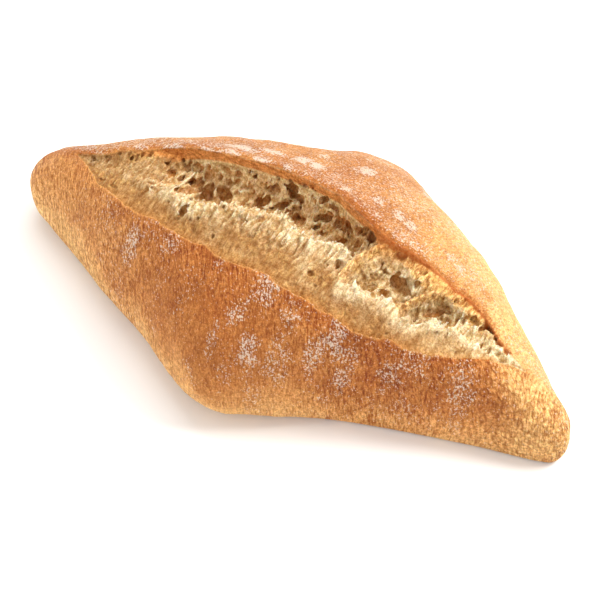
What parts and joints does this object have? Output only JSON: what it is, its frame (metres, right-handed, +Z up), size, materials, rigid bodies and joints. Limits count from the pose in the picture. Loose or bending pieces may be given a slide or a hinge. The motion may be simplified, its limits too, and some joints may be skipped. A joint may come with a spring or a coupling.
{
  "type": "bread roll",
  "caption": "Diamond-shaped rustic white bread roll with a golden crust and one long slash torn open to the crumb.",
  "frame": {"origin": "middle of the roll's box in plan, on its flat underside", "axes": "+X along the long diagonal, the length of the slash; +Y across, towards the raised back lip of the slash; +Z up"},
  "size_m": [0.1718, 0.0938, 0.0462],
  "materials": {
    "crust": "dry matt crust, dusted with flour"
  },
  "bodies": {
    "root": {"bread_roll": "crust"}
  },
  "joints": []
}
